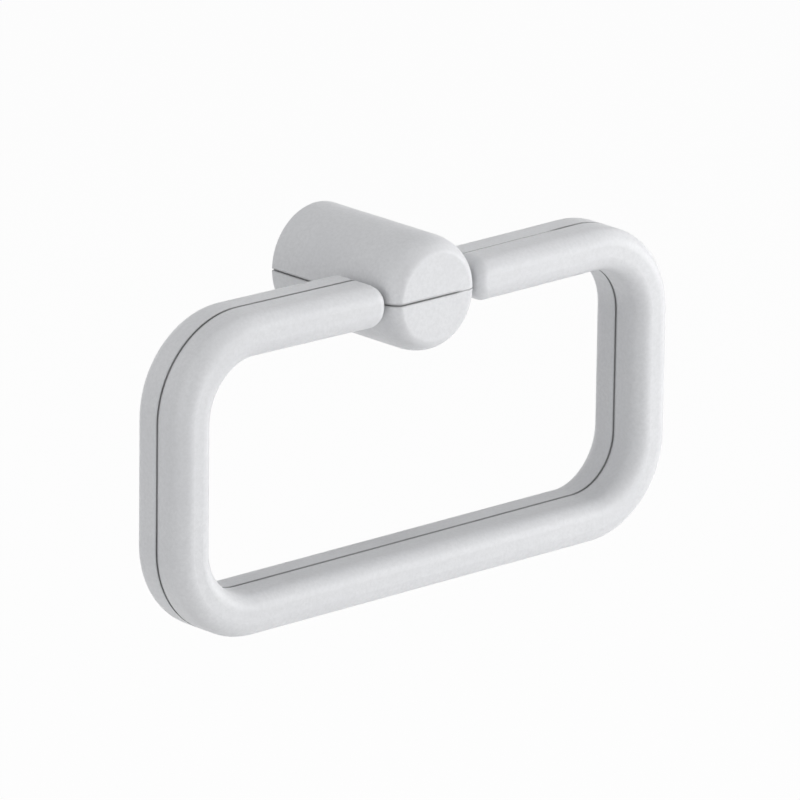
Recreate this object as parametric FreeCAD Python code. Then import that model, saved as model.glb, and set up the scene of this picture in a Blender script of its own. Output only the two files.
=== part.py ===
import FreeCAD, Part
import math
import os

from FreeCAD import Vector

# Towel ring. Millimetres, +Z up, the wall is the plane Y = 0 and the ring stands off it towards -Y.
# The origin is the centre of the post's wall end.

# Ring: a flat-sided bar bent to a rounded rectangle, open at the top where the post stands
ring_width = 250.0
ring_height = 116.5
ring_standoff = 56.0
corner_radius = 32.0
corner_rise = 1.2
bar_thickness = 18.0
bar_depth = 29.6
bar_rounding = 6.6
bar_wall = 2.6
bar_end_gap = 0.6
bar_end_fall = 5.4
bar_end_rounding = 4.4
end_block_length = 23.0

# Post: a cylinder with a flat front face and a drawn-out front edge
post_radius = 24.0
post_projection = 72.4
post_edge_width = 6.0
post_edge_depth = 12.0
post_wall = 3.0
post_front_wall = 3.5

# Seams between the moulded halves: a shadow gap on the outside, and a lip inside the ring's wall
ring_seam_gap = 1.0
post_seam_gap = 0.7
seam_depth = 0.9
lip_thickness = 1.1
lip_height = 1.6
lip_clearance = 0.1

# Metal carrier inside the post, with a spigot into each end of the ring
spigot_thickness = 8.0
spigot_depth = 16.0
spigot_length = 20.0
spigot_clearance = 0.1
spigot_edge = 0.8
hub_radius = 11.5
hub_length = 38.0
neck_width = 18.0
neck_thickness = 12.0
neck_front_margin = 1.2
socket_depth = 22.0
socket_clearance = 0.1

# Wall plate that the carrier's socket is pushed over
plate_thickness = 3.0
plate_clearance = 0.1
boss_radius = 7.5
boss_length = 20.0
boss_chamfer = 0.8
wall_hole_radius = 2.3
wall_hole_spacing = 32.0
countersink_radius = 4.2

# Locking screw through the lower side of the socket
lock_screw_y = -14.0
lock_screw_radius = 2.5
lock_screw_length = 8.0
lock_screw_clearance = 0.05
lock_screw_chamfer = 0.5
lock_key_width = 2.5
lock_key_depth = 3.0
lock_seat_depth = 1.0
lock_seat_clearance = 0.2
key_hole_radius = 2.8

# Ribs that hold the carrier's hub and neck, and the pegs that line up the post's two halves
rib_thickness = 2.5
rib_half_width = 11.0
rib_clearance = 0.1
rib_rear_y = -6.5
rib_front_y = -33.5
peg_block_width = 7.0
peg_block_length = 6.0
peg_block_height = 6.0
peg_block_overlap = 0.6
peg_radius = 1.2
peg_height = 4.0
peg_clearance = 0.1
peg_end_clearance = 0.4
peg_y_places = (-21.0, -41.0)

# Sizes that follow from the ones above
post_bore = post_radius - post_wall
ring_y = -ring_standoff
bar_end_x = post_radius + bar_end_gap
top_z = corner_rise
bottom_z = corner_rise - ring_height
side_x = ring_width / 2
spigot_end_x = bar_end_x + spigot_length
rise_per_mm = corner_rise / side_x

# The bar's ends are domed: part of an upright cylinder's side that falls back above and below
end_dome_radius = ((bar_thickness / 2) ** 2 + bar_end_fall ** 2) / (2 * bar_end_fall)
end_dome_x = bar_end_x + end_dome_radius
end_dome_z = rise_per_mm * end_dome_x

along_y = Vector(0, 1, 0)
along_z = Vector(0, 0, 1)


def box(x0, x1, y0, y1, z0, z1):
    """A box between two corners."""
    return Part.makeBox(x1 - x0, y1 - y0, z1 - z0, Vector(x0, y0, z0))


def centre_line(start_x):
    """The bar's centre line as a wire, from start_x left of the post round to start_x right of it."""
    start_z = rise_per_mm * start_x
    corners = [
        Vector(-start_x, ring_y, start_z),
        Vector(-side_x, ring_y, top_z),
        Vector(-side_x, ring_y, bottom_z),
        Vector(side_x, ring_y, bottom_z),
        Vector(side_x, ring_y, top_z),
        Vector(start_x, ring_y, start_z),
    ]
    edges = []
    here = corners[0]
    for before, corner, after in zip(corners, corners[1:], corners[2:]):
        back = (before - corner).normalize()
        on = (after - corner).normalize()
        half_angle = back.getAngle(on) / 2
        reach = corner_radius / math.tan(half_angle)
        bisector = (back + on).normalize()
        middle = corner + bisector * (corner_radius / math.sin(half_angle) - corner_radius)
        bend_start = corner + back * reach
        bend_end = corner + on * reach
        edges.append(Part.makeLine(here, bend_start))
        edges.append(Part.Arc(bend_start, middle, bend_end).toShape())
        here = bend_end
    edges.append(Part.makeLine(here, corners[-1]))
    return Part.Wire(edges)


def sweep_round_ring(points, start_x, rounding=0.0):
    """Sweep a closed outline round the ring. Its points are (outward, towards the wall) offsets
    from the bar's centre line. With rounding, the outline is a rectangle with rounded corners."""
    path = centre_line(start_x)
    origin = path.Edges[0].Vertexes[0].Point
    tangent = path.Edges[0].tangentAt(path.Edges[0].FirstParameter)
    outward = tangent.cross(along_y)
    if outward.z < 0:
        outward = outward * -1
    placed = [origin + outward * n + along_y * y for n, y in points]
    outline = Part.makePolygon(placed + placed[:1])
    if rounding:
        outline = rounded_outline(placed, rounding)
    return path.makePipeShell([outline], True, False)


def rounded_outline(points, radius):
    """A rectangle's outline with its corners rounded."""
    edges = []
    count = len(points)
    for index in range(count):
        before = points[index - 1]
        corner = points[index]
        after = points[(index + 1) % count]
        back = (before - corner).normalize()
        on = (after - corner).normalize()
        middle = corner + (back + on) * radius - (back + on).normalize() * radius
        edges.append(Part.Arc(corner + back * radius, middle, corner + on * radius).toShape())
        edges.append(Part.makeLine(corner + on * radius, after - on * radius))
    return Part.Wire(edges)


def bar_section(half_thickness, half_depth):
    """Corners of a section centred on the bar's centre line."""
    return [
        (half_thickness, -half_depth),
        (half_thickness, half_depth),
        (-half_thickness, half_depth),
        (-half_thickness, -half_depth),
    ]


def on_end_dome(point, inset):
    """Whether a point lies on the dome of one of the bar's ends."""
    from_axis = math.hypot(abs(point.x) - end_dome_x, point.z - end_dome_z)
    return abs(point.x) < end_dome_x and abs(from_axis - end_dome_radius + inset) < 1e-4


def bar_body(inset):
    """The bar as one solid with domed, rounded ends, drawn in on all sides by the inset."""
    section = bar_section(bar_thickness / 2 - inset, bar_depth / 2 - inset)
    body = sweep_round_ring(section, post_radius / 2, bar_rounding - inset)
    reach = bar_depth
    gap = box(-end_dome_x, end_dome_x, ring_y - reach, ring_y + reach, -reach, reach)
    for side in (1, -1):
        foot = Vector(side * end_dome_x, ring_y - reach, end_dome_z)
        gap = gap.cut(Part.makeCylinder(end_dome_radius - inset, 2 * reach, foot, along_y))
    body = body.cut(gap)
    end_edges = []
    for edge in body.Edges:
        points = [corner.Point for corner in edge.Vertexes]
        points.append(edge.valueAt((edge.FirstParameter + edge.LastParameter) / 2))
        if all(on_end_dome(point, inset) for point in points):
            end_edges.append(edge)
    return body.makeFillet(bar_end_rounding - inset, end_edges)


def hollow_bar():
    """The whole bar before it is parted, with its cavity, spigot holes and the seam's shadow gap."""
    cavity_section = bar_section(bar_thickness / 2 - bar_wall, bar_depth / 2 - bar_wall)
    cavity = sweep_round_ring(cavity_section, bar_end_x + end_block_length, bar_rounding - bar_wall)
    bar = bar_body(0).cut(cavity)

    half_hole_depth = spigot_depth / 2 + spigot_clearance
    half_hole_height = spigot_thickness / 2 + spigot_clearance
    hole_end_x = bar_end_x + end_block_length + bar_wall
    bar = bar.cut(box(-hole_end_x, hole_end_x, ring_y - half_hole_depth, ring_y + half_hole_depth,
                      -half_hole_height, half_hole_height))

    reach = ring_width + ring_height
    slab = box(-reach, reach, ring_y - ring_seam_gap / 2, ring_y + ring_seam_gap / 2, -reach, reach)
    return bar.cut(slab.cut(bar_body(seam_depth)))


def side_strips(inner, outer, height):
    """Strips round the ring on both sides of the cavity, from the seam towards the wall."""
    strips = []
    for side in (1, -1):
        strip = [
            (side * inner, 0.0),
            (side * outer, 0.0),
            (side * outer, height),
            (side * inner, height),
        ]
        strips.append(sweep_round_ring(strip, bar_end_x + end_block_length + lip_clearance))
    return strips


def ring_shells():
    """The ring's front and rear halves, parted at the bar's mid-depth, with a lip on the front one."""
    bar = hollow_bar()
    reach = ring_width + ring_height
    front_space = box(-reach, reach, ring_y - bar_depth, ring_y, -reach, reach)
    rear_space = box(-reach, reach, ring_y, ring_y + bar_depth, -reach, reach)
    front = bar.common(front_space)
    rear = bar.common(rear_space)
    cavity_face = bar_thickness / 2 - bar_wall
    lip_face = cavity_face + lip_thickness
    for strip in side_strips(cavity_face, lip_face + lip_clearance, lip_height + lip_clearance):
        rear = rear.cut(strip)
    for strip in side_strips(cavity_face, lip_face, 2 * lip_height):
        strip.translate(along_y * -lip_height)
        front = front.fuse(strip)
    return front.removeSplitter(), rear.removeSplitter()


def turned_about_y(profile):
    """Turn a closed profile of (radius, y) edges about the post's axis."""
    face = Part.Face(Part.Wire(profile))
    return face.revolve(Vector(0, 0, 0), along_y, 360)


def post_body(radius, front_y, edge_width, edge_depth):
    """A cylinder from the wall to front_y whose front edge is a quarter ellipse."""
    flat = radius - edge_width
    shoulder_y = front_y + edge_depth
    if edge_width < edge_depth:
        ellipse = Part.Ellipse(Vector(flat, front_y, 0), Vector(radius, shoulder_y, 0),
                               Vector(flat, shoulder_y, 0))
    else:
        ellipse = Part.Ellipse(Vector(radius, shoulder_y, 0), Vector(flat, front_y, 0),
                               Vector(flat, shoulder_y, 0))
    start = ellipse.parameter(Vector(flat, front_y, 0))
    end = ellipse.parameter(Vector(radius, shoulder_y, 0))
    if end < start:
        start, end = end, start
    if end - start > math.pi:
        start, end = end, start + 2 * math.pi
    profile = [
        Part.makeLine(Vector(0, 0, 0), Vector(0, front_y, 0)),
        Part.makeLine(Vector(0, front_y, 0), Vector(flat, front_y, 0)),
        ellipse.toShape(start, end),
        Part.makeLine(Vector(radius, shoulder_y, 0), Vector(radius, 0, 0)),
        Part.makeLine(Vector(radius, 0, 0), Vector(0, 0, 0)),
    ]
    return turned_about_y(Part.sortEdges(profile)[0])


def hub_rib(rear_y):
    """Webs above and below the carrier's hub, with a seat for it, open at the sides for the wall screws."""
    wall = Part.makeCylinder(post_bore + post_wall / 2, rib_thickness, Vector(0, rear_y, 0), along_y * -1)
    seat = Part.makeCylinder(hub_radius + rib_clearance, rib_thickness, Vector(0, rear_y, 0), along_y * -1)
    return wall.cut(seat).common(box(-rib_half_width, rib_half_width, rear_y - rib_thickness, rear_y,
                                     -post_radius, post_radius))


def neck_rib():
    """Webs above and below the carrier's neck, in line with the ring's bar."""
    front_y = ring_y - rib_thickness / 2
    rear_y = ring_y + rib_thickness / 2
    wall = Part.makeCylinder(post_bore + post_wall / 2, rib_thickness, Vector(0, rear_y, 0), along_y * -1)
    half_gap = neck_thickness / 2 + rib_clearance
    seat = box(-rib_half_width, rib_half_width, front_y, rear_y, -half_gap, half_gap)
    return wall.common(box(-rib_half_width, rib_half_width, front_y, rear_y,
                           -post_radius, post_radius)).cut(seat)


def peg_place(side, y):
    """Centre of a peg on the seam, half way along its block."""
    return Vector(side * (post_bore - peg_block_width / 2), y, 0)


def peg_block(side, y, up):
    """A block on the post's inner wall that carries a peg or its socket."""
    inner = side * (post_bore - peg_block_width)
    outer = side * (post_bore + peg_block_overlap)
    height = up * peg_block_height
    return box(min(inner, outer), max(inner, outer), y - peg_block_length / 2, y + peg_block_length / 2,
               min(0, height), max(0, height))


def post_half(up):
    """One half of the post: hollow, with its ribs, spigot openings and peg blocks."""
    inside = post_body(post_bore, -post_projection + post_front_wall, post_edge_width - post_wall,
                       post_edge_depth - post_front_wall)
    outside = post_body(post_radius, -post_projection, post_edge_width, post_edge_depth)
    reach = post_radius * 2
    space = box(-reach, reach, -post_projection, 0, min(0, up * reach), max(0, up * reach))
    half = outside.cut(inside).common(space)
    for rear_y in (rib_rear_y, rib_front_y):
        half = half.fuse(hub_rib(rear_y).common(space))
    half = half.fuse(neck_rib().common(outside).common(space))
    for y in peg_y_places:
        for side in (1, -1):
            half = half.fuse(peg_block(side, y, up))
    half_hole_depth = spigot_depth / 2 + spigot_clearance
    half_hole_height = spigot_thickness / 2 + spigot_clearance
    half = half.cut(box(-bar_end_x, bar_end_x, ring_y - half_hole_depth, ring_y + half_hole_depth,
                        -half_hole_height, half_hole_height))
    kept = post_body(post_radius - seam_depth, -post_projection + seam_depth, post_edge_width - seam_depth,
                     post_edge_depth - seam_depth)
    slab = box(-reach, reach, -post_projection, 0, -post_seam_gap / 2, post_seam_gap / 2)
    return half.cut(slab.cut(kept))


def post_shells():
    """The post's upper and lower halves, with pegs on the upper one and sockets in the lower one."""
    upper = post_half(1)
    lower = post_half(-1)
    peg_hole_depth = peg_height + peg_end_clearance
    for y in peg_y_places:
        for side in (1, -1):
            place = peg_place(side, y)
            peg = Part.makeCylinder(peg_radius, 2 * peg_height, place + along_z * -peg_height, along_z)
            upper = upper.fuse(peg)
            lower = lower.cut(Part.makeCylinder(peg_radius + peg_clearance, peg_hole_depth,
                                                place + along_z * -peg_hole_depth, along_z))
    key_hole = Part.makeCylinder(key_hole_radius, post_radius, Vector(0, lock_screw_y, -post_radius), along_z)
    lower = lower.cut(key_hole)
    return upper.removeSplitter(), lower.removeSplitter()


def carrier():
    """The metal piece inside the post: socket, neck and the two spigots."""
    rear_y = -plate_thickness
    hub = Part.makeCylinder(hub_radius, hub_length, Vector(0, rear_y, 0), along_y * -1)
    neck_front = ring_y - spigot_depth / 2 - neck_front_margin
    neck = box(-neck_width / 2, neck_width / 2, neck_front, rear_y - hub_length / 2,
               -neck_thickness / 2, neck_thickness / 2)
    spigots = box(-spigot_end_x, spigot_end_x, ring_y - spigot_depth / 2, ring_y + spigot_depth / 2,
                  -spigot_thickness / 2, spigot_thickness / 2)
    tip_edges = []
    for edge in spigots.Edges:
        if all(abs(abs(corner.Point.x) - spigot_end_x) < 1e-6 for corner in edge.Vertexes):
            tip_edges.append(edge)
    spigots = spigots.makeChamfer(spigot_edge, tip_edges)
    body = hub.fuse(neck).fuse(spigots)
    socket = Part.makeCylinder(boss_radius + socket_clearance, socket_depth, Vector(0, rear_y, 0), along_y * -1)
    screw_hole = Part.makeCylinder(lock_screw_radius + lock_screw_clearance, hub_radius,
                                   Vector(0, lock_screw_y, -hub_radius), along_z)
    return body.cut(socket).cut(screw_hole).removeSplitter()


def wall_plate():
    """A round plate with a boss, a seat for the locking screw and two countersunk screw holes."""
    plate = Part.makeCylinder(post_bore - plate_clearance, plate_thickness, Vector(0, 0, 0), along_y * -1)
    boss_front_y = -plate_thickness - boss_length
    boss = Part.makeCylinder(boss_radius, boss_length, Vector(0, -plate_thickness, 0), along_y * -1)
    rim = [edge for edge in boss.Edges if edge.Closed and abs(edge.CenterOfMass.y - boss_front_y) < 1e-6]
    body = plate.fuse(boss.makeChamfer(boss_chamfer, rim))
    for side in (1, -1):
        centre = Vector(side * wall_hole_spacing / 2, 0, 0)
        hole = Part.makeCylinder(wall_hole_radius, plate_thickness, centre, along_y * -1)
        sink_depth = countersink_radius - wall_hole_radius
        sink = Part.makeCone(wall_hole_radius, countersink_radius, sink_depth,
                             centre - along_y * (plate_thickness - sink_depth), along_y * -1)
        body = body.cut(hole).cut(sink)
    seat = Part.makeCylinder(lock_screw_radius + lock_seat_clearance, lock_seat_depth + 1,
                             Vector(0, lock_screw_y, -boss_radius - 1), along_z)
    return body.cut(seat).removeSplitter()


def locking_screw():
    """A headless screw with a six-sided key socket in its lower end."""
    tip_z = -(boss_radius - lock_seat_depth)
    end_z = tip_z - lock_screw_length
    screw = Part.makeCylinder(lock_screw_radius, lock_screw_length, Vector(0, lock_screw_y, end_z), along_z)
    rims = [edge for edge in screw.Edges if edge.Closed]
    screw = screw.makeChamfer(lock_screw_chamfer, rims)
    corner_reach = lock_key_width / math.sqrt(3)
    corners = []
    for index in range(7):
        angle = math.radians(60 * index)
        corners.append(Vector(corner_reach * math.cos(angle), lock_screw_y + corner_reach * math.sin(angle), end_z))
    socket = Part.Face(Part.makePolygon(corners)).extrude(along_z * lock_key_depth)
    return screw.cut(socket)


ring_front, ring_rear = ring_shells()
post_upper, post_lower = post_shells()

os.makedirs("parts", exist_ok=True)
ring_front.exportStep("parts/ring_front_shell.step")
ring_rear.exportStep("parts/ring_rear_shell.step")
post_upper.exportStep("parts/post_upper_shell.step")
post_lower.exportStep("parts/post_lower_shell.step")
carrier().exportStep("parts/ring_carrier.step")
wall_plate().exportStep("parts/wall_plate.step")
locking_screw().exportStep("parts/locking_screw.step")
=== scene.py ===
import math

import bpy
from mathutils import Matrix, Vector


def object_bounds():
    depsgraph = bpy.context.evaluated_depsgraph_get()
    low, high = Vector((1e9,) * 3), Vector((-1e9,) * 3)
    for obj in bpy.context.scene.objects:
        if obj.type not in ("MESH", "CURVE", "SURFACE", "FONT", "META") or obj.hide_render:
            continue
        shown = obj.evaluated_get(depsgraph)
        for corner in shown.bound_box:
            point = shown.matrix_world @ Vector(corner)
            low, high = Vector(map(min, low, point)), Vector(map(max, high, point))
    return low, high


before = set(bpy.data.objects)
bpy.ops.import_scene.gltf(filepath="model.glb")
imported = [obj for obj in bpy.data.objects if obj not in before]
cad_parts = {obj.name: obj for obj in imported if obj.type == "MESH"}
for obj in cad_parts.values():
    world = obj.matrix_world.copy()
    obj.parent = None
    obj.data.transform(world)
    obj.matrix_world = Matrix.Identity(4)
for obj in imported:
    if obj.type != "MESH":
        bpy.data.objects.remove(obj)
cad_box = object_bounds()

MM = 0.001
WHITE = (1.0, 1.0, 1.0, 1.0)

# Camera: the photograph was taken from the left and above with a long lens
CAMERA_AZIMUTH = math.radians(42.68)
CAMERA_ELEVATION = math.radians(17.14)
CAMERA_ROLL = math.radians(0.78)
CAMERA_DISTANCE = 3.6535
CAMERA_AIM = Vector((-0.00035, -0.05183, -0.04788))
CAMERA_CLIP_END = 100.0
SENSOR_WIDTH = 36.0
FOCAL_LENGTH = 406.8

# Floor: FLOOR_WHITE_SHARE is how much of it shows plain white, over its lit surface
FLOOR_Z = -0.75
FLOOR_HALF_WIDTH = 14.0
FLOOR_COLOUR = (0.9, 0.9, 0.9, 1.0)
FLOOR_ROUGHNESS = 0.9
FLOOR_WHITE_SHARE = 0.97

# World, as the soft light that falls on the object
WORLD_COLOUR = (0.93, 0.96, 1.0, 1.0)
WORLD_STRENGTH = 0.1

# Lamps: name, azimuth and elevation in degrees, side in metres, power in watts.
# Azimuth 0 stands in front of the object, and azimuth 90 on its right side.
LAMP_DISTANCE = 2.4
LAMPS = (
    ("front_high", 0.0, 30.0, 1.3, 7.1),
    ("front_right", 30.0, 0.0, 1.3, 11.2),
    ("right_low", 60.0, 0.0, 1.3, 25.6),
    ("right_high", 90.0, 30.0, 1.3, 7.2),
    ("left_front", -60.0, 0.0, 1.3, 7.8),
    ("left_side", -90.0, 0.0, 1.3, 2.8),
    ("left_high", -90.0, 30.0, 1.3, 9.3),
    ("back", 180.0, 0.0, 2.6, 9.5),
    ("top", 0.0, 88.0, 1.3, 14.7),
)
# From this elevation on, a lamp's own up is taken along Y, because Z is nearly its direction
STEEP_ELEVATION = 80.0

# Noise textures mostly lie between these values
NOISE_LOW = 0.3
NOISE_HIGH = 0.7

# Moulded plastic; scales are in features per metre, and bumps are a strength and a height
PLASTIC_COLOUR = (0.83, 0.835, 0.85)
PLASTIC_SHADE = (0.80, 0.805, 0.825)
PLASTIC_SPECK = (0.755, 0.76, 0.775)
PLASTIC_ROUGHNESS = (0.38, 0.50)
PLASTIC_IOR = 1.5
CLOUDS_SCALE = 38.0
MOTTLE_SCALE = 700.0
GLOSS_SCALE = 160.0
GRAIN_SCALE = 1500.0
GRAIN_BUMP = (0.45, 0.06 * MM)
SWELL_SCALE = 120.0
SWELL_BUMP = (0.5, 0.16 * MM)

# Painted shade in the seams between the moulded halves: the gap's inside, and its edges, which
# fade into the plastic
SEAM_SHADE_DARK = (0.32, 0.322, 0.33)
SEAM_SHADE_PALE = (0.49, 0.492, 0.50)
SEAM_SHADE_SCALE = 24.0
RING_SEAM_Y = -56.0 * MM
RING_SEAM_HALF_GAP = 0.51 * MM
POST_SEAM_Z = 0.0
POST_SEAM_HALF_GAP = 0.36 * MM
SEAM_EDGE_WIDTH = 0.9 * MM
SEAM_EDGE_SHARE = 0.55

# Along the ring's top right the painted seam shade is paler. Each pair gives, in metres, where
# it is still full and where it is
# pale: along X beside the post, along X beside the corner, along Z.
SEAM_SHADE_FAINT = (0.86, 0.865, 0.875)
FAINT_SEAM_START = (0.010, 0.016)
FAINT_SEAM_END = (0.084, 0.074)
FAINT_SEAM_HEIGHT = (-0.020, -0.012)

# Painted shade: a grey laid into the colour where ambient occlusion finds narrow gaps, such as
# where the ring's ends meet the post.
# The open and closed shares below are the open shares at which it starts and is complete.
GAP_SHADE_GREY = (0.42, 0.423, 0.43)
GAP_SHADE_REACH = 8.0 * MM
GAP_SHADE_OPEN = 0.75
GAP_SHADE_CLOSED = 0.1
GAP_SHADE_SHARE = 0.7
GAP_SHADE_SAMPLES = 8

# Metals: bright and dull colour, roughness, the grain's features per metre and its
# scale along X, Y and Z
CAST_METAL = ((0.62, 0.63, 0.65), (0.45, 0.46, 0.48), 0.5, 700.0, (1.0, 1.0, 1.0))
PLATE_METAL = ((0.66, 0.66, 0.67), (0.52, 0.52, 0.54), 0.36, 500.0, (0.15, 1.0, 6.0))
SCREW_METAL = ((0.36, 0.36, 0.38), (0.22, 0.22, 0.24), 0.4, 1500.0, (1.0, 1.0, 1.0))
METAL_SMOOTHER_BY = 0.08
METAL_ROUGHER_BY = 0.1
METAL_PATCHES_SCALE = 90.0
METAL_BUMP = (0.3, 0.05 * MM)


def new_material(name):
    """A new material with a Principled shader, and its nodes and links."""
    material = bpy.data.materials.new(name)
    material.use_nodes = True
    return material, material.node_tree.nodes, material.node_tree.links


def math_node(nodes, links, operation, *values):
    """A Math node's result; each value is a socket or a number."""
    node = nodes.new("ShaderNodeMath")
    node.operation = operation
    for index, value in enumerate(values):
        if isinstance(value, (int, float)):
            node.inputs[index].default_value = value
        else:
            links.new(value, node.inputs[index])
    return node.outputs[0]


def noise(nodes, links, vector, scale, detail, roughness=0.5):
    """A noise texture's value at that scale, in features per metre."""
    node = nodes.new("ShaderNodeTexNoise")
    node.inputs["Scale"].default_value = scale
    node.inputs["Detail"].default_value = detail
    node.inputs["Roughness"].default_value = roughness
    links.new(vector, node.inputs["Vector"])
    return node.outputs["Fac"]


def spread(nodes, links, value, low=0.0, high=1.0):
    """Maps the values where a noise mostly lies onto low to high."""
    node = nodes.new("ShaderNodeMapRange")
    node.inputs["From Min"].default_value = NOISE_LOW
    node.inputs["From Max"].default_value = NOISE_HIGH
    node.inputs["To Min"].default_value = low
    node.inputs["To Max"].default_value = high
    links.new(value, node.inputs["Value"])
    return node.outputs["Result"]


def ramp(nodes, links, value, start, end):
    """Goes smoothly from 0 to 1 as the value goes from start to end, either way along."""
    node = nodes.new("ShaderNodeMapRange")
    node.interpolation_type = "SMOOTHSTEP"
    node.inputs["From Min"].default_value = min(start, end)
    node.inputs["From Max"].default_value = max(start, end)
    node.inputs["To Min"].default_value = 0.0 if start < end else 1.0
    node.inputs["To Max"].default_value = 1.0 if start < end else 0.0
    links.new(value, node.inputs["Value"])
    return node.outputs["Result"]


def mix_colours(nodes, links, factor, first, second):
    """Mixes two colours, each a socket or a triple, by a factor socket."""
    node = nodes.new("ShaderNodeMix")
    node.data_type = "RGBA"
    links.new(factor, node.inputs["Factor"])
    for name, value in (("A", first), ("B", second)):
        socket = [s for s in node.inputs if s.name == name and s.type == "RGBA"][0]
        if isinstance(value, tuple):
            socket.default_value = (*value, 1.0)
        else:
            links.new(value, socket)
    return [s for s in node.outputs if s.type == "RGBA"][0]


def bump(nodes, links, height, strength, distance):
    """A Bump node for that height socket."""
    node = nodes.new("ShaderNodeBump")
    node.inputs["Strength"].default_value = strength
    node.inputs["Distance"].default_value = distance
    links.new(height, node.inputs["Height"])
    return node


def seam_shade_colour(nodes, links, place, parts):
    """Painted shade for the inside of the gap, uneven along it, and paler along the ring's top
    right.
    """
    uneven = spread(nodes, links, noise(nodes, links, place, SEAM_SHADE_SCALE, 2.0))
    dark = mix_colours(nodes, links, uneven, SEAM_SHADE_DARK, SEAM_SHADE_PALE)
    from_post = ramp(nodes, links, parts.outputs["X"], *FAINT_SEAM_START)
    to_corner = ramp(nodes, links, parts.outputs["X"], *FAINT_SEAM_END)
    on_top = ramp(nodes, links, parts.outputs["Z"], *FAINT_SEAM_HEIGHT)
    shade_mask = math_node(nodes, links, "MULTIPLY", from_post, to_corner)
    shade_mask = math_node(nodes, links, "MULTIPLY", shade_mask, on_top)
    return mix_colours(nodes, links, shade_mask, dark, SEAM_SHADE_FAINT)


def painted_gap_shade(nodes, links):
    """Painted shade: 0 on open surfaces, rising towards its full share deep in a narrow gap."""
    node = nodes.new("ShaderNodeAmbientOcclusion")
    node.samples = GAP_SHADE_SAMPLES
    node.inputs["Distance"].default_value = GAP_SHADE_REACH
    shade_mask = ramp(nodes, links, node.outputs["AO"], GAP_SHADE_OPEN, GAP_SHADE_CLOSED)
    return math_node(nodes, links, "MULTIPLY", shade_mask, GAP_SHADE_SHARE)


def plastic(name, seam_axis, seam_place, half_gap):
    """Satin moulded plastic: a fine grain, slight mottling of colour and gloss, painted shade in
    narrow gaps, and painted shade inside a seam gap of that half width across seam_axis and
    along its edges."""
    material, nodes, links = new_material(name)
    shader = nodes["Principled BSDF"]
    place = nodes.new("ShaderNodeTexCoord").outputs["Object"]
    parts = nodes.new("ShaderNodeSeparateXYZ")
    links.new(place, parts.inputs[0])

    clouds = spread(nodes, links, noise(nodes, links, place, CLOUDS_SCALE, 3.0))
    mottle = spread(nodes, links, noise(nodes, links, place, MOTTLE_SCALE, 3.0, 0.6))
    tint = mix_colours(nodes, links, clouds, PLASTIC_COLOUR, PLASTIC_SHADE)
    tint = mix_colours(nodes, links, mottle, tint, PLASTIC_SPECK)
    # painted shade: narrow gaps found by ambient occlusion turn grey
    tint = mix_colours(nodes, links, painted_gap_shade(nodes, links), tint, GAP_SHADE_GREY)

    # painted shade: the seam gap turns dark, and a band along its edges fades from it
    inside = seam_shade_colour(nodes, links, place, parts)
    offset = math_node(nodes, links, "SUBTRACT", parts.outputs[seam_axis], seam_place)
    distance = math_node(nodes, links, "ABSOLUTE", offset)
    near_seam = ramp(nodes, links, distance, half_gap + SEAM_EDGE_WIDTH, half_gap)
    edge_share = math_node(nodes, links, "MULTIPLY", near_seam, SEAM_EDGE_SHARE)
    tint = mix_colours(nodes, links, edge_share, tint, inside)
    in_seam = math_node(nodes, links, "LESS_THAN", distance, half_gap)
    tint = mix_colours(nodes, links, in_seam, tint, inside)
    links.new(tint, shader.inputs["Base Color"])

    gloss = noise(nodes, links, place, GLOSS_SCALE, 4.0)
    links.new(spread(nodes, links, gloss, *PLASTIC_ROUGHNESS), shader.inputs["Roughness"])

    grain = noise(nodes, links, place, GRAIN_SCALE, 4.0, 0.65)
    swell = noise(nodes, links, place, SWELL_SCALE, 3.0)
    fine = bump(nodes, links, grain, *GRAIN_BUMP)
    broad = bump(nodes, links, swell, *SWELL_BUMP)
    links.new(broad.outputs["Normal"], fine.inputs["Normal"])
    links.new(fine.outputs["Normal"], shader.inputs["Normal"])
    shader.inputs["IOR"].default_value = PLASTIC_IOR
    return material


def metal(name, bright, dull, roughness, grain_scale, grain_stretch):
    """Bare metal with dull patches, and a grain whose scale grain_stretch changes by axis."""
    material, nodes, links = new_material(name)
    shader = nodes["Principled BSDF"]
    place = nodes.new("ShaderNodeTexCoord").outputs["Object"]
    stretch = nodes.new("ShaderNodeMapping")
    stretch.inputs["Scale"].default_value = grain_stretch
    links.new(place, stretch.inputs["Vector"])

    patches = spread(nodes, links, noise(nodes, links, place, METAL_PATCHES_SCALE, 4.0))
    links.new(mix_colours(nodes, links, patches, bright, dull), shader.inputs["Base Color"])
    grain = noise(nodes, links, stretch.outputs["Vector"], grain_scale, 5.0, 0.65)
    smoothest = roughness - METAL_SMOOTHER_BY
    roughest = roughness + METAL_ROUGHER_BY
    links.new(spread(nodes, links, grain, smoothest, roughest), shader.inputs["Roughness"])
    relief = bump(nodes, links, grain, *METAL_BUMP)
    links.new(relief.outputs["Normal"], shader.inputs["Normal"])
    shader.inputs["Metallic"].default_value = 1.0
    return material


def dress(node, material):
    """Gives a CAD node that material through its own material slots."""
    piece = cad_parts[node]
    for material_slot in piece.material_slots:
        material_slot.link = "OBJECT"
        material_slot.material = material


def pointing(direction, up):
    """A rotation whose local -Z is direction and whose local Y is as near to up as can be."""
    back = -direction.normalized()
    right = up.cross(back).normalized()
    return Matrix((right, back.cross(right), back)).transposed()


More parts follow.
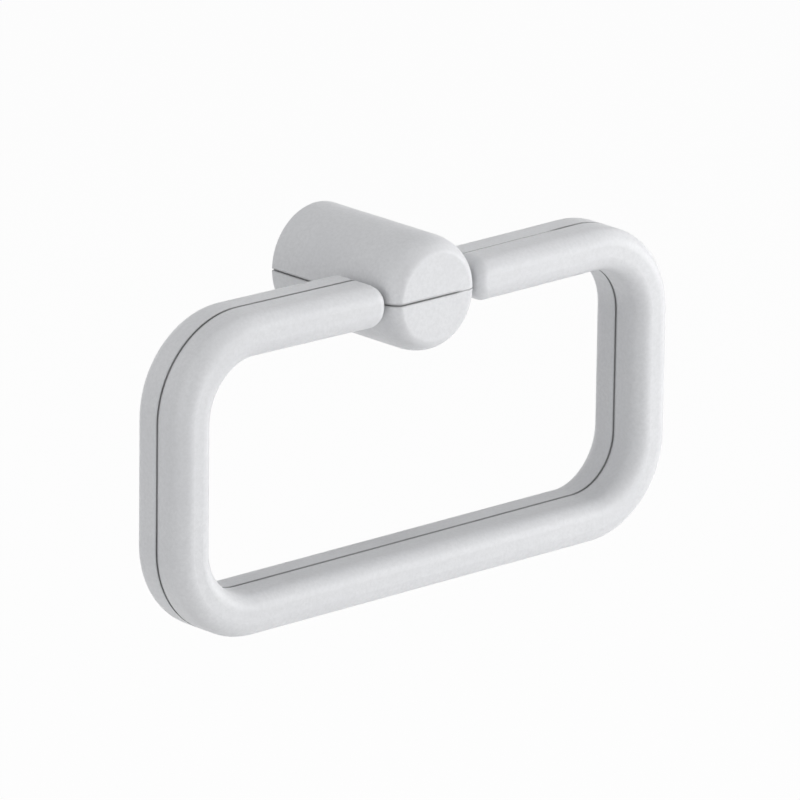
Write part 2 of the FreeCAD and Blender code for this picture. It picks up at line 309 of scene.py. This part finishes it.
def add_camera():
    """The camera, at the photograph's angle and framing."""
    data = bpy.data.cameras.new("camera")
    camera = bpy.data.objects.new("camera", data)
    bpy.context.scene.collection.objects.link(camera)
    view = Vector((
        math.sin(CAMERA_AZIMUTH) * math.cos(CAMERA_ELEVATION),
        math.cos(CAMERA_AZIMUTH) * math.cos(CAMERA_ELEVATION),
        -math.sin(CAMERA_ELEVATION),
    ))
    turn = pointing(view, Vector((0, 0, 1))) @ Matrix.Rotation(CAMERA_ROLL, 3, "Z")
    stand = Matrix.Translation(CAMERA_AIM - view * CAMERA_DISTANCE)
    camera.matrix_world = stand @ turn.to_4x4()
    data.sensor_width = SENSOR_WIDTH
    data.lens = FOCAL_LENGTH
    data.clip_end = CAMERA_CLIP_END
    bpy.context.scene.camera = camera


def add_lamp(name, azimuth, elevation, side, power):
    """A square lamp that looks at the object from a direction."""
    data = bpy.data.lights.new(name, "AREA")
    data.shape = "SQUARE"
    data.size = side
    data.energy = power
    lamp = bpy.data.objects.new(name, data)
    bpy.context.scene.collection.objects.link(lamp)
    turn = math.radians(azimuth)
    rise = math.radians(elevation)
    towards = Vector((
        math.sin(turn) * math.cos(rise),
        -math.cos(turn) * math.cos(rise),
        math.sin(rise),
    ))
    centre = (Vector(cad_box[0]) + Vector(cad_box[1])) / 2
    up = Vector((0, 0, 1)) if elevation < STEEP_ELEVATION else Vector((0, 1, 0))
    stand = Matrix.Translation(centre + towards * LAMP_DISTANCE)
    lamp.matrix_world = stand @ pointing(-towards, up).to_4x4()


def background_rays(nodes, links):
    """1 for the rays that show the background: camera, glossy and transmission rays."""
    rays = nodes.new("ShaderNodeLightPath").outputs
    seen = math_node(nodes, links, "MAXIMUM", rays["Is Camera Ray"], rays["Is Glossy Ray"])
    return math_node(nodes, links, "MAXIMUM", seen, rays["Is Transmission Ray"])


def mix_shaders(nodes, links, factor, first, second):
    """Mixes two shader sockets by a factor socket."""
    mix = nodes.new("ShaderNodeMixShader")
    links.new(factor, mix.inputs["Fac"])
    links.new(first, mix.inputs[1])
    links.new(second, mix.inputs[2])
    return mix.outputs["Shader"]


def add_floor():
    """A wide pale floor well below the object, which shows the background's rays white."""
    mesh = bpy.data.meshes.new("floor")
    w = FLOOR_HALF_WIDTH
    corners = [(x, y, FLOOR_Z) for x, y in ((-w, -w), (w, -w), (w, w), (-w, w))]
    mesh.from_pydata(corners, [], [(0, 1, 2, 3)])
    floor = bpy.data.objects.new("floor", mesh)
    bpy.context.scene.collection.objects.link(floor)
    material, nodes, links = new_material("floor_white")
    shader = nodes["Principled BSDF"]
    shader.inputs["Base Color"].default_value = FLOOR_COLOUR
    shader.inputs["Roughness"].default_value = FLOOR_ROUGHNESS
    white = nodes.new("ShaderNodeEmission")
    white.inputs["Color"].default_value = WHITE
    white.inputs["Strength"].default_value = 1.0
    seen = math_node(nodes, links, "MULTIPLY", background_rays(nodes, links), FLOOR_WHITE_SHARE)
    surface = mix_shaders(nodes, links, seen, shader.outputs["BSDF"], white.outputs["Emission"])
    links.new(surface, nodes["Material Output"].inputs["Surface"])
    mesh.materials.append(material)


def add_world():
    """A dim soft light from all round, which shows the background's rays white."""
    world = bpy.data.worlds.new("studio")
    bpy.context.scene.world = world
    world.use_nodes = True
    nodes = world.node_tree.nodes
    links = world.node_tree.links
    soft = nodes["Background"]
    soft.inputs["Color"].default_value = WORLD_COLOUR
    soft.inputs["Strength"].default_value = WORLD_STRENGTH
    white = nodes.new("ShaderNodeBackground")
    white.inputs["Color"].default_value = WHITE
    white.inputs["Strength"].default_value = 1.0
    surface = mix_shaders(nodes, links, background_rays(nodes, links),
                          soft.outputs["Background"], white.outputs["Background"])
    links.new(surface, nodes["World Output"].inputs["Surface"])


ring_plastic = plastic("ring_plastic", "Y", RING_SEAM_Y, RING_SEAM_HALF_GAP)
post_plastic = plastic("post_plastic", "Z", POST_SEAM_Z, POST_SEAM_HALF_GAP)

dress("ring_front_shell", ring_plastic)
dress("ring_rear_shell", ring_plastic)
dress("post_upper_shell", post_plastic)
dress("post_lower_shell", post_plastic)
dress("ring_carrier", metal("cast_metal", *CAST_METAL))
dress("wall_plate", metal("plate_metal", *PLATE_METAL))
dress("locking_screw", metal("screw_metal", *SCREW_METAL))

add_floor()
add_world()
add_camera()
for lamp in LAMPS:
    add_lamp(*lamp)

bpy.context.scene.view_settings.view_transform = "Standard"
